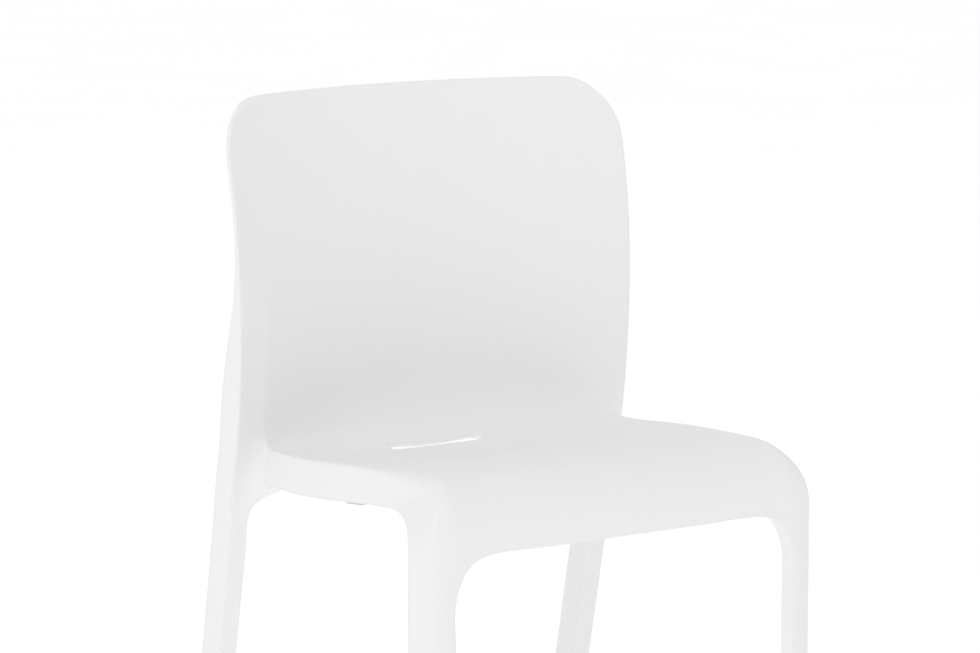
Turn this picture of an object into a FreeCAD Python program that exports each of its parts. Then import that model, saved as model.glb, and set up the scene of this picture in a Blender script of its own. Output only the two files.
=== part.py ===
"""Armless stacking chair: one hollow polypropylene moulding on four plug-in glides.

Millimetres, +Z up, the chair faces -Y. The origin is on the floor under the centre of the footprint.
"""
import FreeCAD, Part
import math
import os

V = FreeCAD.Vector

# ---- overall sizes ----
overall_width = 500.0        # over the rear posts
overall_depth = 475.0        # front face of the front legs to the back of the rear feet
overall_height = 813.0
seat_height = 459.5          # sides of the seat just behind its rounded front edge

# ---- seat ----
seat_half_width = 212.5      # centre to the crease along each side
seat_fall = 15.5             # fall of its sides to the rear
seat_fall_start = 88.0       # from the front face to where it starts to fall
seat_fall_length = 225.0
dish_front = 4.0             # how far the middle of the seat lies below its sides, at the front
dish_rear = 17.5             # and at the rear
seat_wall = 6.0
front_edge_radius = 52.0     # rounded front edge, at the top surface
apron_bottom = 388.0
apron_corner_radius = 46.0   # between the apron and each front leg
apron_return = 15.0          # depth of the rib along the bottom of the apron
rib_height = 10.0
rib_lap = 2.0                # rib inside the front legs

# ---- back ----
back_wall = 6.0
back_sag = 50.0              # depth of the hollow of the back, across its width
post_face_drop = 9.0         # inner edge of a post's front face behind its outer edge
post_face_end = 560.0        # the posts' faces fade into the back from here
post_face_fade = 140.0       # over this height
lumbar_height = 600.0        # where the back stands furthest forward
lumbar_setback = 342.0       # front face of the legs to the posts at that height
upper_lean = 0.00078         # curvature of the lean above the lumbar height, per mm
lower_lean = 0.0005          # and below it
leg_lean_height = 400.0      # below this the rear legs run straight
corner_across = 55.0         # rounded top corners of the back
corner_down = 68.0
top_arch = 2.0               # rise of the top edge at the middle
fold_ahead_side = 20.0       # bend from seat to back: its length along the seat at the sides
fold_ahead_middle = 80.0     # and on the centre line
fold_rise_side = 28.0        # its height up the back at the sides
fold_rise_middle = 90.0      # and on the centre line

# ---- drain slot ----
slot_length = 113.0
slot_width = 13.0
slot_ahead_of_back = 38.0    # from the front of the back, where it stands furthest forward

# ---- side rails ----
rail_height = 38.0
rail_width = 22.0
rail_front_radius = 32.0
rail_rear_radius = 24.0
rail_blend = 60.0            # length over which the rail widens into the front leg

# ---- front legs ----
front_leg_width = 27.0
front_leg_outer_depth = 44.0
front_leg_inner_depth = 17.0
front_leg_round = 7.0        # set-back of the outer front edge from the front face
front_leg_side = 10.8        # width of the side that slopes back to that edge
leg_flare = 25.0             # outer face of the leg beyond the seat's side crease
leg_flare_below = 12.0       # the flare ends this far below the rounded front edge

# ---- rear legs and posts ----
rear_leg_depth = 34.0
rear_leg_width = 24.0
rear_leg_taper = 6.0         # drawn in on the outside, from seat to floor
rear_leg_draft = 2.0         # inner front edge behind the outer one
rear_leg_slant = 1.0         # inner rear edge ahead of the outer one
post_rear_step = 14.0        # inner side of the post shallower than its outer side
post_taper_start = 490.0     # the posts thin out from here
post_taper_end = 665.0       # to the wall of the back here

# ---- how the members run into one another ----
seat_step = 0.8              # legs and rails stand this far off the sheet's own surfaces
wing_lap = 6.0               # side of the back inside the sheet's edge
leg_lap = 10.0               # rail inside the legs

# ---- hollow legs and their glides ----
leg_wall = 4.0
front_channel_top = 372.0
rear_channel_top = 325.0
glide_flange = 4.0
glide_inset = 0.6            # flange inside the outline of the leg end
stem_length = 30.0
stem_clearance = 0.15
pad_thickness = 3.0
pad_recess = 1.2
pad_margin = 3.5
pad_clearance = 0.1

# ---- stacking bumpers ----
bumper_length = 34.0
bumper_width = 12.0
bumper_thickness = 3.0
bumper_stem = 5.0            # diameter
bumper_stem_length = 7.0
bumper_stem_clearance = 0.1
bumper_margin = 3.0          # straight rail beyond each end of the bumper
bumper_ahead_of_lumbar = 150.0

# ---- worked out from the sizes above ----
front = -overall_depth / 2.0
half_width = overall_width / 2.0
lumbar = front + lumbar_setback
knee = lumbar + lower_lean * (lumbar_height - leg_lean_height) ** 2
leg_rake = (overall_depth / 2.0 - rear_leg_depth - knee) / leg_lean_height
leg_rear = front + front_leg_outer_depth
foot = pad_thickness - pad_recess + glide_flange
front_leg_outside = seat_half_width + leg_flare
front_leg_inside = front_leg_outside - front_leg_width
flat_start = front + front_edge_radius


def smooth(share):
    """Eased step from 0 to 1."""
    share = min(1.0, max(0.0, share))
    return share * share * (3.0 - 2.0 * share)


def seat_top(y, x=0.0):
    """Height of the seat's top surface at depth y and distance x from the centre line."""
    run = smooth((y - front - seat_fall_start) / seat_fall_length)
    dish = dish_front + (dish_rear - dish_front) * run
    return seat_height - seat_fall * run - dish * (1.0 - (x / seat_half_width) ** 2)


def side_top(y):
    """Height of the top surface along the seat's side, over the rounded front edge too."""
    ahead = max(0.0, flat_start - y) / front_edge_radius
    return seat_top(y, seat_half_width) - front_edge_radius * (1.0 - math.sqrt(1.0 - ahead ** 2))


def post_front(z):
    """Depth of the front outer edge of the rear post or leg at height z."""
    if z >= lumbar_height:
        return lumbar + upper_lean * (z - lumbar_height) ** 2
    bend = max(z, leg_lean_height)
    return lumbar + lower_lean * (bend - lumbar_height) ** 2 + leg_rake * (bend - z)


rail_rear = post_front(seat_height - rail_height - rail_rear_radius)
merge_start = seat_top(rail_rear, seat_half_width) - rail_height - 2.0 * rail_rear_radius


def back_front(z, x):
    """Depth of the front surface of the back at height z and distance x from the centre line."""
    bowl = back_sag * (1.0 - (x / half_width) ** 2)
    panel = post_face_drop + (back_sag - post_face_drop) * (1.0 - (x / seat_half_width) ** 2)
    framed = 1.0 - smooth((z - post_face_end) / post_face_fade)
    return post_front(z) + bowl + (panel - bowl) * framed


def post_depth(z):
    """Front-to-rear depth of the post at its outer face."""
    thinned = smooth((z - post_taper_start) / (post_taper_end - post_taper_start))
    return rear_leg_depth + (back_wall - rear_leg_depth) * thinned


def top_edge(x):
    """Height of the top edge of the back at distance x from the centre line."""
    past = abs(x) - (half_width - corner_across)
    straight = overall_height - top_arch * (x / half_width) ** 2
    if past <= 0.0:
        return straight
    return straight - corner_down * (1.0 - math.sqrt(1.0 - min(1.0, past / corner_across) ** 2))


def corner_edge(z):
    """Distance of the back's side edge from the centre line at height z."""
    drop = max(0.0, z - (overall_height - top_arch - corner_down)) / corner_down
    return half_width - corner_across * (1.0 - math.sqrt(1.0 - min(1.0, drop) ** 2))


def spread(low, high, count):
    """Evenly spaced values from low to high."""
    return [low + (high - low) * i / (count - 1) for i in range(count)]


def spline(points):
    curve = Part.BSplineCurve()
    curve.interpolate(points)
    return curve.toShape()


def line(start, end):
    return Part.makeLine(start, end)


def solid_loft(wires, ruled=False):
    return Part.makeLoft(wires, True, ruled)


def loop(points):
    return Part.makePolygon(points + [points[0]])


def prism(wire, direction):
    return Part.Face(wire).extrude(direction)


def mirrored(shape):
    return shape.mirror(V(0, 0, 0), V(1, 0, 0))


def fused(shapes):
    return shapes[0].multiFuse(shapes[1:]).removeSplitter()


def inset(points, distance):
    """Corners of a convex outline, listed counterclockwise, with every side moved in by distance."""
    moved = []
    for before, corner, after in zip(points[-1:] + points[:-1], points, points[1:] + points[:1]):
        arriving = (corner - before).normalize()
        leaving = (after - corner).normalize()
        turn = arriving.x * leaving.y - arriving.y * leaving.x
        moved.append(corner + (leaving - arriving) * (distance / turn))
    return moved


# ---- seat and back ----
front_edge_turns = 6
seat_stations = 5
fold_stations = 6
back_stations = 7


def profile(points):
    """Points of a line in a plane of constant x, each with the normal of the line there."""
    normals = []
    for before, after in zip(points[:1] + points, points[1:] + points[-1:]):
        along = (after - before).normalize()
        normals.append(V(0, -along.z, along.y))
    return list(zip(points, normals))


def shell_line(x):
    """Points and normals of the upper surface, from the apron's lower edge over the seat to the top."""
    centre_z = seat_top(front, x) - front_edge_radius
    points = [V(x, front, apron_bottom)]
    for i in range(front_edge_turns + 1):
        turn = math.pi / 2.0 * i / front_edge_turns
        away = front_edge_radius * V(0, -math.cos(turn), math.sin(turn))
        points.append(V(x, flat_start, centre_z) + away)
    near = (x / seat_half_width) ** 2
    corner_y = back_front(seat_top(lumbar, x), x)
    corner = V(x, corner_y, seat_top(corner_y, x))
    seat_end = corner_y - fold_ahead_middle - (fold_ahead_side - fold_ahead_middle) * near
    back_end = corner.z + fold_rise_middle + (fold_rise_side - fold_rise_middle) * near
    for i in range(1, seat_stations + 1):
        y = flat_start + (seat_end - flat_start) * i / seat_stations
        points.append(V(x, y, seat_top(y, x)))
    start = points[-1]
    end = V(x, back_front(back_end, x), back_end)
    for i in range(1, fold_stations):
        t = i / fold_stations
        points.append(start * (1 - t) ** 2 + corner * (2 * t * (1 - t)) + end * t ** 2)
    for i in range(back_stations + 1):
        z = back_end + (top_edge(x) - back_end) * i / back_stations
        points.append(V(x, back_front(z, x), z))
    return profile(points)


def shell_section(x):
    """Closed outline of the sheet in the plane at x."""
    upper = [point for point, normal in shell_line(x)]
    lower = [point - normal * seat_wall for point, normal in shell_line(x)]
    return Part.Wire([spline(upper), line(upper[-1], lower[-1]), spline(lower), line(lower[0], upper[0])])


def sheet():
    """Seat and back in one sheet, between the creases along their sides."""
    return solid_loft([shell_section(x) for x in spread(-seat_half_width, seat_half_width, 7)])


# ---- rear legs, posts and the sides of the back ----
def rear_section(z):
    """Corners of the rear leg or post at height z on the +X side, counterclockwise from the inner front."""
    joined = seat_top(lumbar, seat_half_width)
    low = min(1.0, max(0.0, (joined - z) / joined))
    outer = corner_edge(z) - rear_leg_taper * low
    depth = post_depth(z)
    y = post_front(z)
    merge = min(1.0, max(0.0, (z - merge_start) / (2.0 * rail_rear_radius)))
    leg_inner = outer - rear_leg_width + rear_leg_taper * low * 0.5
    inner = leg_inner + (seat_half_width - wing_lap - leg_inner) * merge
    leg_y = y + rear_leg_draft
    leg_depth = depth - rear_leg_draft - rear_leg_slant
    wing_y = back_front(z, inner) + seat_step
    wing_depth = max(back_wall - 2.0 * seat_step, depth - post_rear_step)
    inner_y = leg_y + (wing_y - leg_y) * merge
    inner_depth = leg_depth + (wing_depth - leg_depth) * merge
    return [V(inner, inner_y, z), V(outer, y, z), V(outer, y + depth, z), V(inner, inner_y + inner_depth, z)]


def rear_post():
    """Rear leg below the rail, and the post above it that thins out into the side of the back."""
    leg = solid_loft([loop(rear_section(z)) for z in (foot, merge_start)], True)
    merge_end = merge_start + 2.0 * rail_rear_radius
    shoulder = overall_height - top_arch - corner_down
    heights = spread(merge_start, merge_end, 5)
    heights += spread(merge_end, post_taper_start, 3)[1:]
    heights += spread(post_taper_start, post_taper_end, 5)[1:]
    turns = spread(0.0, math.pi / 2.0, 8)[:-1]
    heights += [shoulder + corner_down * math.sin(turn) for turn in turns]
    wing = solid_loft([loop(rear_section(z)) for z in heights], True)
    return leg, wing


# ---- side rails ----
def rail_under(y):
    return seat_top(y, seat_half_width) - rail_height


def rail_section(y, low):
    """Outline of the rail at depth y, with its underside at height low; it widens into the front leg."""
    near = min(1.0, max(0.0, 1.0 - (y - leg_rear) / rail_blend))
    corner = min(1.0, max(0.0, 1.0 - (y - leg_rear) / rail_front_radius))
    rear = min(1.0, max(0.0, 1.0 - (rail_rear - y) / rail_rear_radius))
    outer = seat_half_width + seat_step
    top = side_top(y) - 2.0 * seat_step
    belly = outer + (leg_flare - 2.0 * seat_step) * near ** 2 * min(1.0, (top - low) / (2.0 * rail_height))
    inner = seat_half_width - rail_width
    floor_inner = inner + (front_leg_inside + seat_step - inner) * corner
    floor_inner += (rear_section(low)[0].x + seat_step - inner) * rear
    belly = max(belly, floor_inner + rail_width / 4.0)
    sunk = seat_top(y, seat_half_width) - seat_top(y, inner)
    return [V(floor_inner, y, low), V(belly, y, low), V(outer, y, top), V(inner, y, top - sunk)]


def bumper_seat():
    """Ends of the straight stretch of the rail's underside that carries the stacking bumper."""
    y = lumbar - bumper_ahead_of_lumbar
    reach = bumper_length / 2.0 + bumper_margin
    return [V(seat_half_width - rail_width / 2.0, end, rail_under(end)) for end in (y - reach, y + reach)]


def rail():
    """Rail along the +X side with its rounded corners to the front leg and the rear post."""
    turns = spread(0.0, math.pi / 2.0, 6)
    r = rail_front_radius
    base = rail_under(leg_rear + r) - r
    stations = [(leg_rear - leg_lap, base)]
    stations += [(leg_rear + r * (1.0 - math.cos(t)), base + r * math.sin(t)) for t in turns]
    near, far = bumper_seat()
    end = rail_rear - rail_rear_radius
    straight = spread(leg_rear + r, near.y, 4)[1:] + spread(far.y, end, 4)[:-1]
    stations += [(y, rail_under(y)) for y in straight]
    r = rail_rear_radius
    base = rail_under(end) - r
    stations += [(rail_rear - r * (1.0 - math.cos(t)), base + r * math.sin(t)) for t in reversed(turns)]
    stations.append((rail_rear + leg_lap, base))
    return solid_loft([loop(rail_section(y, low)) for y, low in stations], True)


# ---- front legs ----
def front_section(z):
    """Corners of the front leg at height z on the +X side, counterclockwise from the inner front."""
    shoulder = seat_height - front_edge_radius
    rise = min(1.0, max(0.0, (z - shoulder + leg_flare_below) / (front_edge_radius + leg_flare_below / 2.0)))
    outside = front_leg_outside - leg_flare * rise ** 2
    inside = min(front_leg_inside, outside - rail_width)
    over = max(0.0, z - shoulder)
    face = front + seat_step + front_edge_radius - math.sqrt(front_edge_radius ** 2 - over ** 2)
    return [
        V(inside, face, z),
        V(outside - front_leg_side, face, z),
        V(outside, face + front_leg_round, z),
        V(outside, leg_rear, z),
        V(inside, front + front_leg_inner_depth + over, z),
    ]


def front_leg():
    """Front leg, and above it the shoulder that closes in under the rounded front edge."""
    shoulder = seat_height - front_edge_radius
    low = shoulder - leg_flare_below
    high = shoulder + front_edge_radius * 0.7
    leg = solid_loft([loop(front_section(z)) for z in (foot, low)], True)
    top = solid_loft([loop(front_section(z)) for z in spread(low, high, 5)])
    return leg, top


def apron_frame():
    """Rib behind the lower edge of the apron with the rounded corners to both front legs."""
    x = front_leg_inside + rib_lap
    r = apron_corner_radius
    low = apron_bottom - r
    top = apron_bottom + rib_height
    arcs = []
    for side in (1, -1):
        centre = V(side * (front_leg_inside - r), 0, low)
        start = V(side * front_leg_inside, 0, low)
        middle = centre + V(side * r * math.sqrt(0.5), 0, r * math.sqrt(0.5))
        arcs.append(Part.Arc(start, middle, centre + V(0, 0, r)).toShape())
    right, left = arcs
    ring = [
        V(-front_leg_inside, 0, low),
        V(-x, 0, low),
        V(-x, 0, top),
        V(x, 0, top),
        V(x, 0, low),
        V(front_leg_inside, 0, low),
    ]
    edges = [line(a, b) for a, b in zip(ring, ring[1:])]
    edges += [right, line(V(front_leg_inside - r, 0, apron_bottom), V(r - front_leg_inside, 0, apron_bottom)), left]
    outline = Part.Wire(Part.__sortEdges__(edges))
    outline.translate(V(0, front + seat_step, 0))
    return prism(outline, V(0, apron_return, 0))


# ---- openings in the moulding ----
def slot_place():
    y = lumbar + back_sag - slot_ahead_of_back
    return y, seat_top(y)


def slot_cutter():
    y, z = slot_place()
    half = slot_length / 2.0 - slot_width / 2.0
    r = slot_width / 2.0
    tall = 3.0 * (seat_wall + slot_width)
    bar = Part.makeBox(2 * half, slot_width, tall, V(-half, y - r, z - tall / 2.0))
    ends = [Part.makeCylinder(r, tall, V(side * half, y, z - tall / 2.0)) for side in (1, -1)]
    return fused([bar] + ends)


def channel(section, top):
    """Hollow of a leg, open at the foot."""
    return solid_loft([loop(inset(section(z), leg_wall)) for z in (foot - 1.0, top)], True)


def bumper_place():
    near, far = bumper_seat()
    return (near + far) / 2.0


def tilted(shape):
    """Lay a shape that is drawn level at the bumper's place along the slope of the rail."""
    near, far = bumper_seat()
    shape.rotate(bumper_place(), V(1, 0, 0), math.degrees(math.atan2(far.z - near.z, far.y - near.y)))
    return shape


def bumper_hole():
    place = bumper_place()
    radius = bumper_stem / 2.0
    hole = Part.makeCylinder(radius, bumper_stem_length + 2.0, place - V(0, 0, 1.0))
    return tilted(hole)


def chair_body():
    half = [*rear_post(), rail(), *front_leg()]
    body = sheet().fuse(apron_frame())
    for member in half + [mirrored(s) for s in half]:
        body = body.fuse(member)
    cutters = [channel(front_section, front_channel_top), channel(rear_section, rear_channel_top), bumper_hole()]
    cutters += [mirrored(c) for c in cutters]
    cutters.append(slot_cutter())
    for cutter in cutters:
        body = body.cut(cutter)
    return body.Solids[0]


# ---- glides, pads and bumpers ----
def glide(section):
    """Foot plug: a flange that closes the leg's end and a stem that fills the mouth of its channel."""
    base = pad_thickness - pad_recess
    flange = solid_loft([loop(inset(section(z), glide_inset)) for z in (base, foot)], True)
    tight = leg_wall + stem_clearance
    stem = solid_loft([loop(inset(section(z), tight)) for z in (foot - 0.5, foot + stem_length - 1.0)], True)
    recess = prism(loop(inset(section(base), pad_margin)), V(0, 0, pad_recess))
    return fused([flange, stem]).cut(recess)


def pad(section):
    """Soft tread pressed into the recess under the flange."""
    base = pad_thickness - pad_recess
    outline = [V(p.x, p.y, 0) for p in inset(section(base), pad_margin + pad_clearance)]
    return prism(loop(outline), V(0, 0, pad_thickness))


def bumper():
    """Soft pad under the rail with a round stem pushed up into it."""
    place = bumper_place()
    r = bumper_width / 2.0
    half = bumper_length / 2.0 - r
    low = place - V(0, 0, bumper_thickness)
    bar = Part.makeBox(bumper_width, 2 * half, bumper_thickness, low - V(r, half, 0))
    ends = [Part.makeCylinder(r, bumper_thickness, low + V(0, side * half, 0)) for side in (1, -1)]
    stem = Part.makeCylinder(bumper_stem / 2.0 - bumper_stem_clearance, bumper_stem_length, place - V(0, 0, 0.5))
    return tilted(fused([bar, stem] + ends))


def main():
    nodes = {"chair_body": chair_body()}
    for end, section in (("front", front_section), ("rear", rear_section)):
        nodes[end + "_right_glide"] = glide(section)
        nodes[end + "_right_glide_pad"] = pad(section)
        nodes[end + "_left_glide"] = mirrored(glide(section))
        nodes[end + "_left_glide_pad"] = mirrored(pad(section))
    nodes["stacking_bumper_right"] = bumper()
    nodes["stacking_bumper_left"] = mirrored(bumper())
    os.makedirs("parts", exist_ok=True)
    for name, shape in nodes.items():
        shape.exportStep("parts/" + name + ".step")


main()
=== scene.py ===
"""Armless stacking chair: a white monobloc moulding on four plug-in glides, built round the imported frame."""

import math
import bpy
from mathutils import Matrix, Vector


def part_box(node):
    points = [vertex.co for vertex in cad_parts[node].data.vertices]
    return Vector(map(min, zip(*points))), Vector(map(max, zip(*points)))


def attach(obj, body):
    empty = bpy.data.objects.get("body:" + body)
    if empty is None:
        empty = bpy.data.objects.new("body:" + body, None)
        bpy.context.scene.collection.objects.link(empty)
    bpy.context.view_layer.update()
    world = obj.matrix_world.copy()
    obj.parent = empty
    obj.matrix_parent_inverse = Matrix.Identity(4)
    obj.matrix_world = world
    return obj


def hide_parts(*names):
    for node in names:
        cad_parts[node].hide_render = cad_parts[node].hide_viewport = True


bl_info = {
    "name": "Stacking Chair",
    "version": (1, 0, 0),
    "blender": (4, 5, 0),
    "location": "View3D > Sidebar > Chair",
    "description": "Makes the moulded body, glides, pads, bumpers and studio of a stacking chair",
    "category": "Add Mesh",
}

import bmesh
import bpy
from bpy.props import FloatProperty, FloatVectorProperty, IntProperty, PointerProperty
from mathutils import Vector

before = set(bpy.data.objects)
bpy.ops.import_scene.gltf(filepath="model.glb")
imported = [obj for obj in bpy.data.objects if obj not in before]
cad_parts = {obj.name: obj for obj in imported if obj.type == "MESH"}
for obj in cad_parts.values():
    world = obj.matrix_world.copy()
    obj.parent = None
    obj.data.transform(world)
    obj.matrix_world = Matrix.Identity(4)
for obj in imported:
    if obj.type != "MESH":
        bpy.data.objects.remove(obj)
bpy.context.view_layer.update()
BODY_LOW, BODY_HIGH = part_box("chair_body")
SIDES = ("left", "right")
ENDS = ("front", "rear")

# ---- studio: lights by azimuth, elevation, size and power ----
LIGHT_DISTANCE = 3.2
LIGHTS_AIM = Vector((0.0, 0.0, 0.55))
WORLD_STRENGTH = 0.79
FLOOR_GLOW = 0.27
FLOOR_HALF = 30.0
SENSOR_WIDTH = 36.0
LIGHTS = {
    "key_light": (-60.0, 50.0, 2.0, 17.8),
    "side_light": (-60.0, 20.0, 2.0, 1.2),
}


# ---- sizes and colours that a user may change ----
def length(name, description, default):
    return FloatProperty(name=name, description=description, default=default, unit="LENGTH", precision=4)


class ChairBodySizes(bpy.types.PropertyGroup):
    """Sizes of the moulding, in metres."""

    seat_height: length("Seat height", "Side edge of the seat just behind its rounded front", 0.4595)
    seat_half: length("Seat half width", "Centre line to the crease along the seat's side", 0.2125)
    seat_fall: length("Seat fall", "How far the side edge falls from front to rear", 0.0155)
    dish_front: length("Front dish", "Middle of the seat below its sides, at the front", 0.004)
    dish_rear: length("Rear dish", "Middle of the seat below its sides, at the rear", 0.0175)
    edge_radius: length("Front edge radius", "Rounded front edge of the seat", 0.052)
    edge_roll: length("Edge roll", "Side crease below the seat surface at the front corner", 0.007)
    wall: length("Wall", "Thickness of the seat and back sheet", 0.006)
    apron_bottom: length("Apron bottom", "Height of the apron's lower edge", 0.388)
    apron_fillet: length("Apron fillet", "Radius between the apron and a front leg", 0.046)
    rail_height: length("Rail height", "Height of a side rail", 0.038)
    rail_width: length("Rail width", "Width of a side rail", 0.022)
    slot_length: length("Slot length", "Drain slot, across the seat", 0.113)
    slot_width: length("Slot width", "Drain slot, front to rear", 0.013)
    slot_depth: length("Slot place", "Centre of the slot from the middle of the footprint", 0.1165)
    back_sag: length("Back sag", "Depth of the hollow across the back", 0.050)
    face_drop: length("Post face drop", "Inner edge of a post's face behind its outer edge", 0.009)
    level: IntProperty(name="Smoothing", description="Subdivision levels of the moulding",
                       default=3, min=1, max=4)


class ChairFinish(bpy.types.PropertyGroup):
    """Colours and finishes."""

    body: FloatVectorProperty(name="Body", description="Colour of the moulding", subtype="COLOR",
                              default=(0.86, 0.86, 0.855), min=0.0, max=1.0)
    glide: FloatVectorProperty(name="Glides", description="Colour of the glides", subtype="COLOR",
                               default=(0.72, 0.72, 0.71), min=0.0, max=1.0)
    rubber: FloatVectorProperty(name="Pads", description="Colour of the foot pads", subtype="COLOR",
                                default=(0.16, 0.16, 0.16), min=0.0, max=1.0)
    bumper: FloatVectorProperty(name="Bumpers", description="Colour of the stacking bumpers", subtype="COLOR",
                                default=(0.55, 0.55, 0.54), min=0.0, max=1.0)
    roughness: FloatProperty(name="Roughness", description="Roughness of the moulding", subtype="FACTOR",
                             default=0.42, min=0.0, max=1.0)


class ChairStudio(bpy.types.PropertyGroup):
    """Where the camera stands, what it looks at and its lens."""

    azimuth: FloatProperty(name="Azimuth", description="Camera direction round the chair", default=-34.3)
    elevation: FloatProperty(name="Elevation", description="Camera above the horizon", default=8.77)
    distance: length("Distance", "Camera to the point it looks at", 4.300)
    lens: FloatProperty(name="Lens", description="Focal length in millimetres", default=150.1)
    look_at: FloatVectorProperty(name="Look at", description="Point in the middle of the picture",
                                 default=(0.0007, 0.0125, 0.5693), subtype="TRANSLATION", unit="LENGTH")


# ---- shader boards ----
class Wire:
    """A shader socket that adds a Math node for each operator used on it."""

    def __init__(self, board, socket):
        self.board = board
        self.socket = socket

    def _math(self, operation, first, second):
        return self.board.add("ShaderNodeMath", {"operation": operation}, {0: first, 1: second})[0]

    def __add__(self, other):
        return self._math("ADD", self, other)

    def __radd__(self, other):
        return self._math("ADD", other, self)

    def __sub__(self, other):
        return self._math("SUBTRACT", self, other)

    def __rsub__(self, other):
        return self._math("SUBTRACT", other, self)

    def __mul__(self, other):
        return self._math("MULTIPLY", self, other)

    def __rmul__(self, other):
        return self._math("MULTIPLY", other, self)


class Placed:
    """A node on a board; its outputs are read by name or number as wires."""

    def __init__(self, board, node):
        self.board = board
        self.node = node

    def __getitem__(self, key):
        return Wire(self.board, self.node.outputs[key])


class Board:
    """The node tree of one material."""

    def __init__(self, name):
        self.material = bpy.data.materials.new(name)
        self.material.use_nodes = True
        self.tree = self.material.node_tree
        self.tree.nodes.clear()

    def add(self, kind, settings=None, sockets=None):
        """Places a node: its settings first, then the values or wires of its sockets."""
        node = self.tree.nodes.new(kind)
        for key, value in (settings or {}).items():
            if key == "stops":
                self._stops(node, value)
            else:
                setattr(node, key, value)
        for key, value in (sockets or {}).items():
            if isinstance(value, Wire):
                self.tree.links.new(value.socket, node.inputs[key])
            else:
                node.inputs[key].default_value = value
        return Placed(self, node)

    def _stops(self, node, stops):
        ramp = node.color_ramp
        while len(ramp.elements) < len(stops):
            ramp.elements.new(1.0)
        for element, (place, level) in zip(ramp.elements, stops):
            element.position = place
            element.color = (level, level, level, 1.0)

    def mix(self, factor, first, second):
        node = self.add("ShaderNodeMix", {"data_type": "RGBA"}, {0: factor, 6: first, 7: second})
        return node[2]

    def noise(self, place, scale, detail, roughness=0.5):
        return self.add("ShaderNodeTexNoise", {}, {
            "Vector": place, "Scale": scale, "Detail": detail, "Roughness": roughness,
        })

    def finish(self, surface):
        self.add("ShaderNodeOutputMaterial", {}, {"Surface": surface["BSDF"]})
        return self.material


def shade(colour, share):
    """A colour scaled by a share, with full alpha."""
    return (*[min(1.0, c * share) for c in colour], 1.0)


def moulded_plastic(name, colour, roughness, grain, grain_height):
    """Satin moulded plastic: fine spark-eroded grain, faint flow clouds and a little wear in the gloss."""
    board = Board(name)
    place = board.add("ShaderNodeTexCoord")["Object"]
    cloud = board.noise(place, 5.0, 3.0, 0.5)
    speck = board.noise(place, 260.0, 2.0)
    fine = board.noise(place, grain, 2.0, 0.6)
    pits = board.add("ShaderNodeTexVoronoi", {"feature": "F1"}, {"Vector": place, "Scale": grain * 0.6})
    scuff = board.noise(place, 38.0, 6.0, 0.7)
    worn = board.add("ShaderNodeValToRGB", {"stops": ((0.56, 0.0), (0.78, 1.0))}, {"Fac": scuff["Fac"]})
    tint = board.mix(cloud["Fac"], shade(colour, 0.985), shade(colour, 1.01))
    tint = board.mix(speck["Fac"] * 0.25, tint, shade(colour, 0.975))
    gloss = roughness + worn["Color"] * 0.08 + cloud["Fac"] * 0.06 - 0.03
    height = fine["Fac"] * 0.7 + pits["Distance"] * 0.3
    bump = board.add("ShaderNodeBump", {}, {"Strength": 0.35, "Distance": grain_height, "Height": height})
    surface = board.add("ShaderNodeBsdfPrincipled", {}, {
        "Base Color": tint, "Roughness": gloss, "Normal": bump["Normal"], "IOR": 1.49,
    })
    return board.finish(surface)


def soft_rubber(name, colour):
    """Matt rubber with a dusty bloom and a slightly rough skin."""
    board = Board(name)
    place = board.add("ShaderNodeTexCoord")["Object"]
    dust = board.noise(place, 120.0, 5.0, 0.65)
    skin = board.noise(place, 1400.0, 2.0)
    bloom = board.add("ShaderNodeValToRGB", {"stops": ((0.45, 0.0), (0.8, 1.0))}, {"Fac": dust["Fac"]})
    tint = board.mix(bloom["Color"] * 0.35, shade(colour, 1.0), shade(colour, 1.6))
    bump = board.add("ShaderNodeBump", {}, {"Strength": 0.4, "Distance": 0.0002, "Height": skin["Fac"]})
    surface = board.add("ShaderNodeBsdfPrincipled", {}, {
        "Base Color": tint, "Roughness": 0.74 + dust["Fac"] * 0.12, "Normal": bump["Normal"],
    })
    return board.finish(surface)


# ---- the lines that the moulding follows ----
def smooth(share):
    share = min(1.0, max(0.0, share))
    return share * share * (3.0 - 2.0 * share)


def blend(a, b, share):
    return Vector(a).lerp(Vector(b), share)


FRONT = BODY_LOW.y
HALF = BODY_HIGH.x
TOP = BODY_HIGH.z
FOOT = BODY_LOW.z
LUMBAR_Z = 0.600
LUMBAR_Y = FRONT + 0.342
KNEE_Z = 0.400
UPPER_LEAN = 0.78
LOWER_LEAN = 0.50
POST_DEPTH = 0.034
KNEE_Y = LUMBAR_Y + LOWER_LEAN * (LUMBAR_Z - KNEE_Z) ** 2
LEG_RAKE = (-FRONT - POST_DEPTH - KNEE_Y) / KNEE_Z
TAPER_LOW, TAPER_HIGH = 0.490, 0.665
LEG_REAR = FRONT + 0.044
LEG_OUTSIDE = 0.2375
LEG_INSIDE = 0.2105
LEG_INNER_DEPTH = 0.017
RIB_DEPTH = 0.015
REAR_LEG_WIDTH = 0.024
REAR_TAPER = 0.006
FALL_START, FALL_LENGTH = FRONT + 0.088, 0.225
FOLD_AHEAD_SIDE, FOLD_AHEAD_MIDDLE = 0.020, 0.080
FOLD_RISE_SIDE, FOLD_RISE_MIDDLE = 0.028, 0.090
CORNER_ACROSS, CORNER_DOWN = 0.055, 0.068
LEG_WALL = 0.004
RAIL_CORNER_RUN = 0.055
RAIL_CORNER_RISE = 0.032
RAIL_BLEND = 0.085
CREASE_SPREAD, SPREAD_START, SPREAD_HEIGHT = 0.005, 0.760, 0.045
FACE_FADE_START, FACE_FADE_HEIGHT = 0.560, 0.140
FOOT_BORE, FOOT_BORE_END = 0.010, 0.045
MEET = 1e-5


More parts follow.
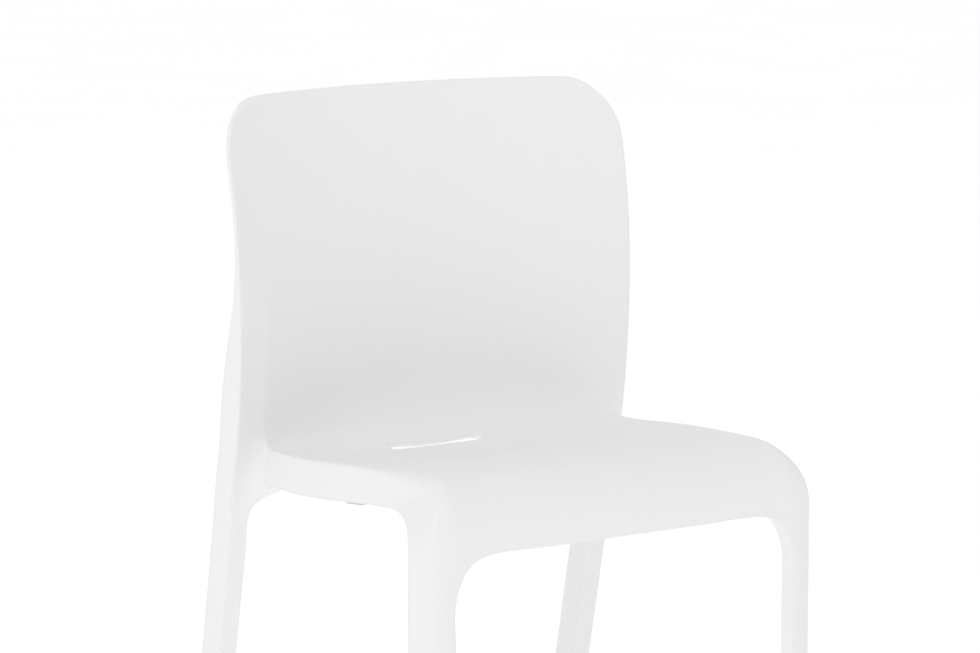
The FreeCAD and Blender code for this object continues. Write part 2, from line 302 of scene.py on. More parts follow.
def post_front(z):
    """Depth of the front outer edge of a rear post or leg."""
    if z >= LUMBAR_Z:
        return LUMBAR_Y + UPPER_LEAN * (z - LUMBAR_Z) ** 2
    bend = max(z, KNEE_Z)
    return LUMBAR_Y + LOWER_LEAN * (bend - LUMBAR_Z) ** 2 + LEG_RAKE * (bend - z)


def post_fullness(z):
    """1 where the post is a full tube, 0 where it has thinned out into the sheet of the back."""
    return 1.0 - smooth((z - TAPER_LOW) / (TAPER_HIGH - TAPER_LOW))


def corner_edge(z):
    """Half width of the back at height z, round its top corners."""
    drop = min(1.0, max(0.0, z - (TOP - CORNER_DOWN)) / CORNER_DOWN)
    return HALF - CORNER_ACROSS * (1.0 - math.sqrt(1.0 - drop * drop))


def top_edge(x):
    past = min(1.0, max(0.0, x - (HALF - CORNER_ACROSS)) / CORNER_ACROSS)
    return TOP - 0.002 * (x / HALF) ** 2 - CORNER_DOWN * (1.0 - math.sqrt(1.0 - past * past))


class Moulding:
    """Works out the control points of half of the moulding, and collects its faces."""

    ARC_TURNS = (0.0, 22.5, 45.0, 67.5, 90.0)
    SEAT_ROWS = (-0.150, -0.105, -0.055, -0.005, 0.042, 0.078)
    FOLD_SHARES = (0.0, 0.25, 0.5, 0.75, 1.0)
    BACK_SHARES = (0.09, 0.24, 0.41, 0.58, 0.74, 0.87, 0.95, 1.0)
    SHEET = ("0", "1", "2", "3", "4", "5", "A", "B", "C")

    def __init__(self, sizes):
        self.s = sizes
        self.points = {}
        self.faces = []
        self.creases = {}
        slot = sizes.slot_length / 2.0
        self.across = (0.0, slot / 2.0, slot, slot + 0.010, 0.105, 0.150, 0.184, 0.201, sizes.seat_half)
        self.first_seat = 2 + len(self.ARC_TURNS)
        self.slot_row = self.first_seat + len(self.SEAT_ROWS) + 1
        self.fold_row = self.slot_row + 2
        self.joint_row = self.fold_row + 2
        self.back_row = self.fold_row + len(self.FOLD_SHARES)
        self.last_row = self.back_row + len(self.BACK_SHARES) - 1

    # surfaces
    def seat_top(self, y, x):
        run = smooth((y - FALL_START) / FALL_LENGTH)
        dish = self.s.dish_front + (self.s.dish_rear - self.s.dish_front) * run
        return self.s.seat_height - self.s.seat_fall * run - dish * (1.0 - (x / self.s.seat_half) ** 2)

    def side_roll(self, y):
        return self.s.edge_roll * (1.0 - smooth((y - FRONT - self.s.edge_radius) / 0.18))

    def back_front(self, z, x):
        s = self.s
        bowl = s.back_sag * (1.0 - (x / HALF) ** 2)
        if x < s.seat_half:
            panel = s.face_drop + (s.back_sag - s.face_drop) * (1.0 - (x / s.seat_half) ** 2)
        else:
            panel = s.face_drop * (HALF - x) / (HALF - s.seat_half)
        framed = 1.0 - smooth((z - FACE_FADE_START) / FACE_FADE_HEIGHT)
        return post_front(z) + bowl + (panel - bowl) * framed

    def slot_line(self, x):
        """Depth of the row of control points behind the slot, which bends forward towards the sides."""
        clear = self.s.slot_length / 2.0 + 0.010
        past = max(0.0, x - clear) / (self.s.seat_half - clear)
        return 0.131 - 0.0255 * past ** 2

    def bend(self, x):
        """Start, corner and end of the bend from the seat to the back."""
        near = (x / self.s.seat_half) ** 2
        corner_y = self.back_front(self.seat_top(LUMBAR_Y, x), x)
        corner_z = self.seat_top(corner_y, x)
        start_y = corner_y - FOLD_AHEAD_MIDDLE + (FOLD_AHEAD_MIDDLE - FOLD_AHEAD_SIDE) * near
        end_z = corner_z + FOLD_RISE_MIDDLE - (FOLD_RISE_MIDDLE - FOLD_RISE_SIDE) * near
        start = Vector((start_y, self.seat_top(start_y, x)))
        return start, Vector((corner_y, corner_z)), Vector((self.back_front(end_z, x), end_z))

    def bend_share(self, y, x):
        """How far along the bend depth y lies; 0 on the seat ahead of it."""
        start, corner, end = self.bend(x)
        square = start.x - 2.0 * corner.x + end.x
        linear = 2.0 * (corner.x - start.x)
        if y <= start.x:
            return 0.0
        return (math.sqrt(linear ** 2 - 4.0 * square * (start.x - y)) - linear) / (2.0 * square)

    def on_bend(self, x, share):
        start, corner, end = self.bend(x)
        return start * (1 - share) ** 2 + corner * (2 * share * (1 - share)) + end * share ** 2

    def on_seat(self, y, x):
        """Point of the seat at depth y, also where it has begun to turn up into the back."""
        share = self.bend_share(y, x)
        return self.on_bend(x, share) if share > 0.0 else Vector((y, self.seat_top(y, x)))

    def fold_point(self, x, share):
        """Point on the bend between the row behind the slot and the start of the back."""
        first = self.bend_share(self.slot_line(x), x)
        return self.on_bend(x, first + (1.0 - first) * share)

    def upper(self, row, x):
        """Depth and height of the upper surface on a row, at distance x from the centre line."""
        s = self.s
        if row == 0:
            return Vector((FRONT, s.apron_bottom))
        if row == 1:
            return Vector((FRONT, s.apron_bottom + 0.010))
        if row < self.first_seat:
            turn = math.radians(self.ARC_TURNS[row - 2])
            centre = Vector((FRONT + s.edge_radius, self.seat_top(FRONT, x) - s.edge_radius))
            return centre + s.edge_radius * Vector((-math.cos(turn), math.sin(turn)))
        if row < self.fold_row:
            middle = [*self.SEAT_ROWS, s.slot_depth - s.slot_width / 2.0 - 0.006,
                      s.slot_depth - s.slot_width / 2.0, s.slot_depth + s.slot_width / 2.0]
            y = middle[row - self.first_seat]
            pulled = smooth((y + 0.06) / 0.18)
            y -= (self.slot_line(0.0) - self.slot_line(x)) * pulled
            return self.on_seat(y, x)
        if row < self.back_row:
            return self.fold_point(x, self.FOLD_SHARES[row - self.fold_row])
        low = self.fold_point(x, 1.0).y
        z = low + (top_edge(x) - low) * self.BACK_SHARES[row - self.back_row]
        return Vector((self.back_front(z, x), z))

    def lower(self, row, x, wall=None):
        """The same on the under or rear surface of the sheet."""
        wall = self.s.wall if wall is None else wall
        here = self.upper(row, x)
        if row < 2:
            return here + Vector((RIB_DEPTH, 0.0))
        if row == 2:
            return here + Vector((wall + 0.001, 0.0))
        ahead = self.upper(min(row + 1, self.last_row), x)
        behind = self.upper(row - 1, x)
        along = (ahead - behind).normalized()
        return here + wall * Vector((along.y, -along.x))

    # points
    def put(self, name, row, x, place):
        self.points[name, row] = Vector((x, place[0], place[1]))

    def widen(self, row, column):
        """Distance of a sheet column from the centre line, where the columns spread to the front leg."""
        x = self.across[column]
        spread = {"5": (0.166, 0.160, 0.155, 0.152), "A": (0.197, 0.195, 0.192, 0.190, 0.188, 0.186),
                  "B": (0.221, 0.219, 0.215, 0.212, 0.208, 0.204, 0.202)}
        shifts = spread.get(self.SHEET[column], ())
        return shifts[row] if row < len(shifts) else x

    def sheet_points(self):
        for row in range(self.last_row + 1):
            for column, name in enumerate(self.SHEET[:-1]):
                x = self.widen(row, column)
                high = smooth((row - self.back_row - 4) / 3.0)
                x += {"B": 0.0035, "A": 0.001}.get(name, 0.0) * high
                self.put(name, row, x, self.upper(row, x))
                under_x = {"A": min(x, 0.176) if self.first_seat <= row < self.joint_row else x,
                           "B": min(x, 0.184) if self.first_seat <= row < self.joint_row else x}.get(name, x)
                self.put("u" + name, row, under_x, self.lower(row, under_x))

    def crease_points(self):
        """The crease along the seat's side, round the front corner, and up the back."""
        s = self.s
        for row in range(self.last_row + 1):
            x = s.seat_half
            if row < 2:
                z = (0.370, 0.390)[row]
                x, place = LEG_OUTSIDE, (FRONT + s.edge_roll, z)
            elif row < self.first_seat:
                turn = math.radians(self.ARC_TURNS[row - 2])
                radius = s.edge_radius - s.edge_roll
                z = s.seat_height - s.edge_radius + radius * math.sin(turn)
                place = (FRONT + s.edge_radius - radius * math.cos(turn), z)
                rise = min(1.0, max(0.0, (z - 0.391) / 0.062))
                x = LEG_OUTSIDE - (LEG_OUTSIDE - s.seat_half) * rise ** 2
            elif row < self.fold_row:
                place = self.upper(row, x) - Vector((0.0, self.side_roll(self.upper(row, x).x)))
            else:
                place = self.upper(row, x)
                if row >= self.back_row:
                    x += CREASE_SPREAD * smooth((place.y - SPREAD_START) / SPREAD_HEIGHT)
                    low = self.fold_point(s.seat_half, 1.0).y
                    z = low + (top_edge(x) - low) * self.BACK_SHARES[row - self.back_row]
                    place = (self.back_front(z, x), z)
            self.put("C", row, x, place)

    def corner_shift(self):
        """The front part of the leg and apron corner: lower rows drop towards the fillet."""
        s = self.s
        fillet = s.apron_fillet * (1.0 - math.sqrt(0.5))
        self.points["A", 0] = Vector((LEG_INSIDE - fillet, FRONT, s.apron_bottom - fillet))
        self.points["uA", 0] = self.points["A", 0] + Vector((0.0, RIB_DEPTH + 0.001, 0.0))
        self.points["A", 1].z -= 0.006
        self.points["uA", 1].z -= 0.006
        self.points["B", 0] = Vector((0.221, FRONT + 0.0004, 0.372))
        self.points["B", 1] = Vector((0.219, FRONT + 0.0004, 0.389))

    def rail_points(self):
        """Rail edges D, E and G, which run on into the corner of the front leg."""
        s = self.s
        radius = RAIL_CORNER_RISE
        flare = LEG_OUTSIDE - s.seat_half
        base = self.seat_top(LEG_REAR + radius, s.seat_half) - s.rail_height - radius
        drawn = (1.0, 0.92, 0.8, 0.6, 0.35, 0.15, 0.04)
        inside = s.seat_half - s.rail_width
        for row in range(self.joint_row):
            crease = self.points["C", row]
            if row < 2:
                y, z = LEG_REAR, (0.352, 0.371)[row]
            elif row < self.first_seat:
                turn = math.radians(self.ARC_TURNS[row - 2])
                y, z = LEG_REAR + RAIL_CORNER_RUN * (1.0 - math.cos(turn)), base + radius * math.sin(turn)
            else:
                behind = 0.030 * (1.0 - smooth((crease.y - self.SEAT_ROWS[0]) / 0.1))
                y = crease.y + behind - 0.004 * smooth(crease.y / 0.1)
                z = self.seat_top(y, s.seat_half) - s.rail_height
            near = max(0.0, 1.0 - (y - LEG_REAR) / RAIL_BLEND)
            x = s.seat_half + flare * near ** 2
            leg = near ** 2
            self.points["D", row] = Vector((x, y, z))
            slant = 0.25 * (LEG_REAR - FRONT - LEG_INNER_DEPTH)
            inner_x = x - s.rail_width + (s.rail_width - slant) * leg
            self.points["E", row] = Vector((inner_x, y - slant * leg, z))
            seat = Vector((inside, *self.lower(row, inside)))
            share = drawn[row] if row < len(drawn) else 0.0
            rear = self.leg_rear_face(0.5, z)
            self.points["G", row] = blend(seat, rear, share)
            if row < self.first_seat:
                lap = self.leg_rear_face(0.78, z + 0.004)
                self.points["uB", row] = blend(self.points["uB", row], lap, share)
        self.points["D", self.joint_row - 1] += Vector((0.0015, -0.002, -0.0015))
        self.points["E", self.joint_row - 1] += Vector((0.0025, 0.0, -0.0015))

    def leg_rear_face(self, share, z):
        """Point on the slanted rear face of a front leg, from its outer to its inner edge."""
        outer = Vector((LEG_OUTSIDE, LEG_REAR, z))
        inner = Vector((LEG_INSIDE, FRONT + LEG_INNER_DEPTH, z))
        return blend(outer, inner, share)

    def post_points(self):
        """Post edges O, P, Q, R and the step G where the post meets the rear of the sheet."""
        s = self.s
        tops = {"O": 0.0077, "P": 0.0190}
        evened = {self.joint_row: -0.010, self.joint_row + 1: -0.004, self.joint_row + 2: 0.004}
        for row in range(self.joint_row, self.last_row + 1):
            crease = self.points["C", row]
            share = smooth((row - self.back_row + 1) / (self.last_row - self.back_row + 1.0)) ** 3
            z = crease.z - tops["P"] * share + evened.get(row, 0.0)
            outer = corner_edge(z)
            face = self.back_front(z, outer)
            self.points["P", row] = Vector((outer, face, z))
            full = post_fullness(z)
            depth = s.wall + (POST_DEPTH - s.wall) * full
            self.points["Q", row] = Vector((outer, face + depth, z))
            z = crease.z - tops["O"] * share + evened.get(row, 0.0) / 2.0
            x = (crease.x + outer) / 2.0
            face = self.back_front(z, x)
            self.points["O", row] = Vector((x, face, z))
            full = post_fullness(z)
            rear = Vector((x, face + s.wall, z))
            self.points["R", row] = blend(rear, (0.212, post_front(z) + POST_DEPTH, z), full)
            full = post_fullness(crease.z)
            thin = Vector((crease.x, crease.y + s.wall, crease.z))
            under_x = 0.203
            under = self.lower(row, under_x, s.wall + 0.001)
            self.points["G", row] = blend(thin, (under_x, *under), full)

    def joint_points(self):
        """Where a rail runs into a rear leg."""
        row = self.joint_row
        z = 0.3985
        y = post_front(z)
        self.points["D", row] = Vector((0.2180, y - 0.0055, z))
        self.points["E", row] = Vector((0.2045, y + 0.009, 0.3925))
        self.points["G", row] = Vector((0.1990, *self.lower(row, 0.199)))
        ring = {"O": (0.2345, 0.0035), "P": (HALF, 0.0), "Q": (HALF, POST_DEPTH), "R": (0.2230, POST_DEPTH)}
        for name, (x, depth) in ring.items():
            self.points[name, "knee"] = Vector((x, post_front(KNEE_Z) + depth, KNEE_Z))

    def rear_ring(self, z, inset=0.0):
        """Six points round a rear leg at height z: front inner, front, outer pair, rear inner, inner."""
        low = (0.445 - z) / 0.445
        outer = HALF - REAR_TAPER * low
        inner = outer - REAR_LEG_WIDTH + REAR_TAPER * low / 2.0
        y = post_front(z)
        rear = y + POST_DEPTH
        return [
            Vector((inner + inset, y + 0.002 + inset, z)),
            Vector(((inner + outer) / 2.0, y + 0.0005 + inset, z)),
            Vector((outer - inset, y + inset, z)),
            Vector((outer - inset, rear - inset, z)),
            Vector((inner + inset, rear - 0.001 - inset, z)),
            Vector((inner + inset, (y + rear) / 2.0, z)),
        ]

    def front_ring(self, z, inset=0.0):
        """Eight points round a front leg at height z, from its inner front edge outwards."""
        roll = self.s.edge_roll
        ring = [
            Vector((LEG_INSIDE + inset, FRONT + inset, z)),
            Vector((LEG_OUTSIDE - 0.011 - inset / 2.0, FRONT + 0.0004 + inset, z)),
            Vector((LEG_OUTSIDE - inset, FRONT + roll + inset, z)),
            Vector((LEG_OUTSIDE - inset, LEG_REAR - inset * 1.8, z)),
        ]
        for share in (0.25, 0.5, 0.78):
            ring.append(self.leg_rear_face(share, z) + Vector((-inset, -inset, 0.0)) * 0.7)
        ring.append(Vector((LEG_INSIDE + inset, FRONT + LEG_INNER_DEPTH - inset, z)))
        return ring

    # faces
    def quad(self, *names):
        self.faces.append(names)

    def strip(self, first, second, closed=False):
        """Quads between two rows of point names."""
        pairs = list(zip(first, second))
        if closed:
            pairs.append(pairs[0])
        for (a, b), (c, d) in zip(pairs, pairs[1:]):
            self.quad(a, c, d, b)

    def crease(self, names, weight):
        for a, b in zip(names, names[1:]):
            self.creases[frozenset((a, b))] = weight

    def column(self, name, rows):
        return [(name, row) for row in rows]

    def leg(self, label, start, ring, heights, creased):
        """Tube of a leg from a starting row of names down to its open end and up inside it."""
        before = start
        rings = []
        for i, z in enumerate(heights):
            rings.append((ring(z), f"{label}{i}"))
        foot = heights[-1]
        rings.append((ring(foot, LEG_WALL), label + "rim"))
        rings.append((ring(foot + FOOT_BORE, LEG_WALL), label + "bore"))
        rings.append((ring(foot + FOOT_BORE_END, LEG_WALL), label + "end"))
        for points, row in rings:
            names = [(f"{label}{n}", row) for n in range(len(points))]
            for name, point in zip(names, points):
                self.points[name] = point
            self.strip(before, names, closed=True)
            for n in creased:
                if not row.endswith(("rim", "bore", "end")):
                    self.crease([before[n], names[n]], 0.5)
            if row.endswith(("rim", "end")) or row == f"{label}{len(heights) - 1}":
                self.crease(names + names[:1], 0.8)
            before = names
        half = len(before) // 2
        near, far = before[:half], before[half:][::-1]
        self.strip(near, far)

    def build(self):
        self.sheet_points()
        self.crease_points()
        self.corner_shift()
        self.rail_points()
        self.post_points()
        self.joint_points()
        joint, last = self.joint_row, self.last_row
        sheet, under = list(self.SHEET), ["u" + n for n in reversed(self.SHEET[:-1])]
        seat_loop = sheet + ["D", "E", "G"] + under
        back_loop = sheet + ["O", "P", "Q", "R", "G"] + under
        hole = self.slot_row
        for row in range(last):
            loop = seat_loop if row < joint else back_loop
            for a, b in zip(loop, loop[1:]):
                cut = row == hole and {a, b} <= {"0", "1", "2"} | {"u0", "u1", "u2"}
                if not cut:
                    self.quad((a, row), (b, row), (b, row + 1), (a, row + 1))
        rim = [("0", hole), ("1", hole), ("2", hole), ("2", hole + 1), ("1", hole + 1), ("0", hole + 1)]
        under_rim = [("u" + n, row) for n, row in rim]
        self.strip(rim, under_rim)
        ends = list(self.SHEET[:7])
        self.strip([(n, 0) for n in ends], [("u" + n, 0) for n in ends])
        front = list(self.SHEET) + ["O", "P"]
        rear = ["u" + n for n in self.SHEET[:-1]] + ["G", "R", "Q"]
        self.strip([(n, last) for n in front], [(n, last) for n in rear])

        ring = [("A", 0), ("B", 0), ("C", 0), ("D", 0), ("E", 0), ("G", 0), ("uB", 0), ("uA", 0)]
        low = self.s.apron_bottom - self.s.apron_fillet
        heights = (low, 0.300, 0.240, 0.170, 0.100, 0.050, 0.020, FOOT + 0.003, FOOT)
        self.leg("front", ring, self.front_ring, heights, (0, 2, 3, 7))

        top = [(n, joint) for n in ("C", "O", "P", "Q", "R", "G")]
        knee = [("D", joint), ("O", "knee"), ("P", "knee"), ("Q", "knee"), ("R", "knee"), ("E", joint)]
        self.strip(top, knee)
        heights = (0.371, 0.345, 0.300, 0.240, 0.170, 0.100, 0.050, 0.020, FOOT + 0.003, FOOT)
        self.leg("rear", knee, self.rear_ring, heights, (0, 2, 3, 4))

        for a, b in (("P", "P"), ("Q", "Q"), ("R", "R")):
            self.crease([(a, joint), (b, "knee")], 0.5)
        self.crease(self.column("C", range(joint + 1)), 0.5)
        for row in range(joint, last):
            z = self.points["C", row].z
            self.crease(self.column("C", (row, row + 1)), 0.3 * (1.0 - smooth((z - 0.45) / 0.2)))
        self.crease(self.column("D", range(joint + 1)), 0.5)
        self.crease(self.column("E", range(self.first_seat - 1, joint + 1)), 0.5)
        self.crease(self.column("G", range(self.first_seat - 2, joint + 1)), 0.3)
        for name, weight in (("P", 0.45), ("Q", 0.45), ("R", 0.3)):
            self.crease(self.column(name, range(joint, last + 1)), weight)
        self.crease([(n, 0) for n in ends], 0.5)
        self.crease([("u" + n, 0) for n in ends], 0.5)
        self.crease([(n, last) for n in front], 0.4)
        self.crease([(n, last) for n in rear], 0.4)
        self.crease(rim, 0.35)
        self.crease(under_rim, 0.35)

    def mesh(self, name):
        """Both halves as one closed mesh with its creases."""
        work = bmesh.new()
        layer = work.edges.layers.float.new("crease_edge")
        for side in (1.0, -1.0):
            made = {}
            for key, point in self.points.items():
                made[key] = work.verts.new((side * point.x, point.y, point.z))
            for names in self.faces:
                work.faces.new([made[n] for n in names])
            for pair, weight in self.creases.items():
                edge = work.edges.get([made[n] for n in pair])
                if edge is None:
                    raise RuntimeError(f"there is no edge between {sorted(map(str, pair))}")
                edge[layer] = weight
        middle = [v for v in work.verts if abs(v.co.x) < 1e-6]
        bmesh.ops.remove_doubles(work, verts=middle, dist=MEET)
        bmesh.ops.recalc_face_normals(work, faces=work.faces)
        if work.calc_volume(signed=True) < 0.0:
            bmesh.ops.reverse_faces(work, faces=work.faces)
        mesh = bpy.data.meshes.new(name)
        work.to_mesh(mesh)
        work.free()
        return mesh


def settle(piece, rounds):
    """Moves the control points until the smooth surface passes through where they were first put."""
    wanted = [v.co.copy() for v in piece.data.vertices]
    for _ in range(rounds):
        graph = bpy.context.evaluated_depsgraph_get()
        reached = piece.evaluated_get(graph).data.vertices
        moves = [want - reached[i].co for i, want in enumerate(wanted)]
        for vertex, move in zip(piece.data.vertices, moves):
            vertex.co += move * 0.9
        piece.data.update()


def direction(azimuth, elevation):
    """Unit vector from the chair towards a place round it, given in degrees."""
    a, e = math.radians(azimuth), math.radians(elevation)
    return Vector((math.sin(a) * math.cos(e), -math.cos(a) * math.cos(e), math.sin(e)))


def link(name, mesh):
    piece = bpy.data.objects.new(name, mesh)
    bpy.context.scene.collection.objects.link(piece)
    return piece


def smooth_faces(mesh):
    mesh.polygons.foreach_set("use_smooth", [True] * len(mesh.polygons))


# ---- small fitted pieces ----
def cad_copy(node, name):
    """A merged copy of a CAD node's mesh with its flat faces made whole."""
    work = bmesh.new()
    work.from_mesh(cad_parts[node].data)
    bmesh.ops.remove_doubles(work, verts=work.verts, dist=1e-6)
    bmesh.ops.dissolve_limit(work, angle_limit=math.radians(1.0), verts=work.verts, edges=work.edges)
    mesh = bpy.data.meshes.new(name)
    work.to_mesh(mesh)
    work.free()
    return link(name, mesh)


def soften(piece, width):
    bevel = piece.modifiers.new("Soft edges", "BEVEL")
    bevel.width = width
    bevel.segments = 3
    bevel.limit_method = "ANGLE"
    bevel.angle_limit = math.radians(35.0)
    bevel.harden_normals = False


def groove_tree():
    """Geometry Nodes: cuts a row of fine grooves across the underside of a soft pad."""
    tree = bpy.data.node_groups.new("Pad grooves", "GeometryNodeTree")
    face = tree.interface
    face.new_socket("Geometry", in_out="INPUT", socket_type="NodeSocketGeometry")
    face.new_socket("Geometry", in_out="OUTPUT", socket_type="NodeSocketGeometry")
    inputs = {"Count": "NodeSocketInt", "Start": "NodeSocketVector", "Step": "NodeSocketVector",
              "Groove": "NodeSocketVector", "Material": "NodeSocketMaterial"}
    for name, kind in inputs.items():
        face.new_socket(name, in_out="INPUT", socket_type=kind)
    place = tree.nodes.new("NodeGroupInput")
    out = tree.nodes.new("NodeGroupOutput")
    points = tree.nodes.new("GeometryNodeMeshLine")
    bar = tree.nodes.new("GeometryNodeMeshCube")
    bars = tree.nodes.new("GeometryNodeInstanceOnPoints")
    whole = tree.nodes.new("GeometryNodeRealizeInstances")
    cut = tree.nodes.new("GeometryNodeMeshBoolean")
    cut.operation = "DIFFERENCE"
    coat = tree.nodes.new("GeometryNodeSetMaterial")
    final = tree.nodes.new("GeometryNodeRealizeInstances")
    join = tree.links.new
    join(place.outputs["Count"], points.inputs["Count"])
    join(place.outputs["Start"], points.inputs["Start Location"])
    join(place.outputs["Step"], points.inputs["Offset"])
    join(place.outputs["Groove"], bar.inputs["Size"])
    join(points.outputs["Mesh"], bars.inputs["Points"])
    join(bar.outputs["Mesh"], bars.inputs["Instance"])
    join(bars.outputs["Instances"], whole.inputs["Geometry"])
    join(place.outputs["Geometry"], cut.inputs["Mesh 1"])
    join(whole.outputs["Geometry"], cut.inputs["Mesh 2"])
    join(cut.outputs["Mesh"], final.inputs["Geometry"])
    join(final.outputs["Geometry"], coat.inputs["Geometry"])
    join(place.outputs["Material"], coat.inputs["Material"])
    join(coat.outputs["Geometry"], out.inputs["Geometry"])
    return tree


def cut_grooves(piece, low, high, spacing, depth, material):
    """Grooves across x, spaced along y, in the face at the bottom of the box low to high."""
    tree = bpy.data.node_groups.get("Pad grooves") or groove_tree()
    count = max(2, int((high.y - low.y) / spacing))
    first = (low.y + high.y - spacing * (count - 1)) / 2.0
    values = {
        "Count": count,
        "Start": ((low.x + high.x) / 2.0, first, low.z),
        "Step": (0.0, spacing, 0.0),
        "Groove": ((high.x - low.x) * 1.2, spacing * 0.35, depth * 2.0),
        "Material": material,
    }
    grooves = piece.modifiers.new("Grooves", "NODES")
    grooves.node_group = tree
    sockets = {item.name: item.identifier for item in tree.interface.items_tree if item.in_out == "INPUT"}
    for name, value in values.items():
        grooves[sockets[name]] = value


def freeze(piece, material):
    """Turns a piece with its modifiers into a plain mesh."""
    graph = bpy.context.evaluated_depsgraph_get()
    mesh = bpy.data.meshes.new_from_object(piece.evaluated_get(graph))
    piece.modifiers.clear()
    piece.data = mesh
    mesh.materials.clear()
    mesh.materials.append(material)
    mesh.polygons.foreach_set("material_index", [0] * len(mesh.polygons))


def take_place(piece, node):
    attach(piece, "root")
    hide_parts(node)


# ---- operators ----
class CHAIR_OT_body(bpy.types.Operator):
    """Make the moulded body: seat, back, rails, apron and four hollow legs"""

    bl_idname = "chair.body"
    bl_label = "Moulded Body"

    def execute(self, context):
        sizes = context.scene.chair_sizes
        finish = context.scene.chair_finish
        moulding = Moulding(sizes)
        moulding.build()
        piece = link("moulded_body", moulding.mesh("moulded_body"))
        smooth_faces(piece.data)
        finer = piece.modifiers.new("Smooth form", "SUBSURF")
        finer.levels = finer.render_levels = 1
        finer.quality = 3
        settle(piece, 5)
        finer.levels = finer.render_levels = sizes.level
        plastic = moulded_plastic("White polypropylene", finish.body, finish.roughness, 900.0, 0.00012)
        piece.data.materials.append(plastic)
        take_place(piece, "chair_body")
        return {"FINISHED"}


class CHAIR_OT_glides(bpy.types.Operator):
    """Make the four plug-in glides"""

    bl_idname = "chair.glides"
    bl_label = "Glides"

    def execute(self, context):
        nylon = moulded_plastic("Glide nylon", context.scene.chair_finish.glide, 0.5, 1300.0, 0.00008)
        for end in ENDS:
            for side in SIDES:
                node = f"{end}_{side}_glide"
                piece = cad_copy(node, node + "_moulded")
                soften(piece, 0.0006)
                freeze(piece, nylon)
                take_place(piece, node)
        return {"FINISHED"}


class CHAIR_OT_pads(bpy.types.Operator):
    """Make the grooved soft treads under the glides"""

    bl_idname = "chair.pads"
    bl_label = "Foot Pads"

    def execute(self, context):
        rubber = soft_rubber("Pad rubber", context.scene.chair_finish.rubber)
        for end in ENDS:
            for side in SIDES:
                node = f"{end}_{side}_glide_pad"
                piece = cad_copy(node, node + "_tread")
                soften(piece, 0.0004)
                cut_grooves(piece, *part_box(node), 0.003, 0.0006, rubber)
                freeze(piece, rubber)
                take_place(piece, node)
        return {"FINISHED"}


class CHAIR_OT_bumpers(bpy.types.Operator):
    """Make the stacking bumpers under the side rails"""

    bl_idname = "chair.bumpers"
    bl_label = "Stacking Bumpers"

    def execute(self, context):
        rubber = soft_rubber("Bumper rubber", context.scene.chair_finish.bumper)
        for side in SIDES:
            node = f"stacking_bumper_{side}"
            piece = cad_copy(node, node + "_soft")
            soften(piece, 0.0007)
            freeze(piece, rubber)
            take_place(piece, node)
        return {"FINISHED"}


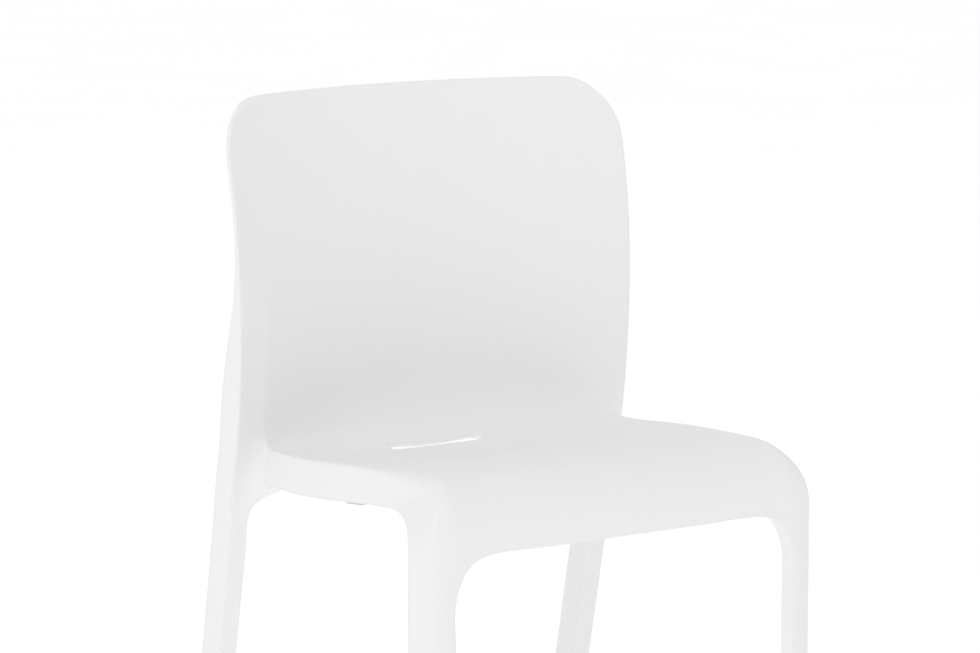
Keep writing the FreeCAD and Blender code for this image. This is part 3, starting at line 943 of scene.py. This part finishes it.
class CHAIR_OT_stage(bpy.types.Operator):
    """Make the pale floor, the soft studio lights and the camera"""

    bl_idname = "chair.stage"
    bl_label = "Studio"

    def execute(self, context):
        self.floor()
        self.world(context.scene)
        for name, values in LIGHTS.items():
            self.light(name, *values)
        self.camera(context.scene)
        context.scene.view_settings.view_transform = "Standard"
        return {"FINISHED"}

    def floor(self):
        work = bmesh.new()
        bmesh.ops.create_grid(work, x_segments=2, y_segments=2, size=FLOOR_HALF)
        mesh = bpy.data.meshes.new("studio_floor")
        work.to_mesh(mesh)
        work.free()
        board = Board("Studio floor")
        place = board.add("ShaderNodeTexCoord")["Object"]
        cloud = board.noise(place, 2.0, 2.0)
        tint = board.mix(cloud["Fac"], (0.90, 0.90, 0.90, 1.0), (0.93, 0.93, 0.93, 1.0))
        surface = board.add("ShaderNodeBsdfPrincipled", {}, {
            "Base Color": tint, "Roughness": 0.9, "Specular IOR Level": 0.1,
            "Emission Color": (1.0, 1.0, 1.0, 1.0), "Emission Strength": FLOOR_GLOW,
        })
        mesh.materials.append(board.finish(surface))
        link("studio_floor", mesh)

    def world(self, scene):
        scene.world = bpy.data.worlds.new("Studio")
        scene.world.use_nodes = True
        light = scene.world.node_tree.nodes["Background"]
        light.inputs["Color"].default_value = (1.0, 1.0, 1.0, 1.0)
        light.inputs["Strength"].default_value = WORLD_STRENGTH

    def light(self, name, azimuth, elevation, size, power):
        data = bpy.data.lights.new(name, "AREA")
        data.shape = "DISK"
        data.size = size
        data.energy = power
        lamp = link(name, data)
        away = direction(azimuth, elevation)
        lamp.location = LIGHTS_AIM + away * LIGHT_DISTANCE
        lamp.rotation_mode = "QUATERNION"
        lamp.rotation_quaternion = away.to_track_quat("Z", "Y")

    def camera(self, scene):
        studio = scene.chair_studio
        data = bpy.data.cameras.new("camera")
        data.lens = studio.lens
        data.sensor_width = SENSOR_WIDTH
        data.clip_end = 100.0
        camera = link("camera", data)
        back = direction(studio.azimuth, studio.elevation)
        camera.location = Vector(studio.look_at) + back * studio.distance
        camera.rotation_mode = "QUATERNION"
        camera.rotation_quaternion = (-back).to_track_quat("-Z", "Y")
        scene.camera = camera


class CHAIR_PT_maker(bpy.types.Panel):
    """Lists the pieces of the chair"""

    bl_idname = "CHAIR_PT_maker"
    bl_label = "Stacking Chair"
    bl_space_type = "VIEW_3D"
    bl_region_type = "UI"
    bl_category = "Chair"

    def draw(self, context):
        for settings in (context.scene.chair_sizes, context.scene.chair_finish, context.scene.chair_studio):
            box = self.layout.box()
            for key in type(settings).__annotations__:
                box.prop(settings, key)
        for operator in PIECES:
            self.layout.operator(operator.bl_idname)


PIECES = (CHAIR_OT_body, CHAIR_OT_glides, CHAIR_OT_pads, CHAIR_OT_bumpers, CHAIR_OT_stage)
SETTINGS = {"chair_sizes": ChairBodySizes, "chair_finish": ChairFinish, "chair_studio": ChairStudio}
CLASSES = (*SETTINGS.values(), *PIECES, CHAIR_PT_maker)


def register():
    for cls in CLASSES:
        bpy.utils.register_class(cls)
    for name, cls in SETTINGS.items():
        setattr(bpy.types.Scene, name, PointerProperty(type=cls))


def unregister():
    for name in SETTINGS:
        delattr(bpy.types.Scene, name)
    for cls in reversed(CLASSES):
        bpy.utils.unregister_class(cls)


def main():
    register()
    bpy.ops.chair.body()
    bpy.ops.chair.glides()
    bpy.ops.chair.pads()
    bpy.ops.chair.bumpers()
    bpy.ops.chair.stage()


if __name__ == "__main__":
    main()
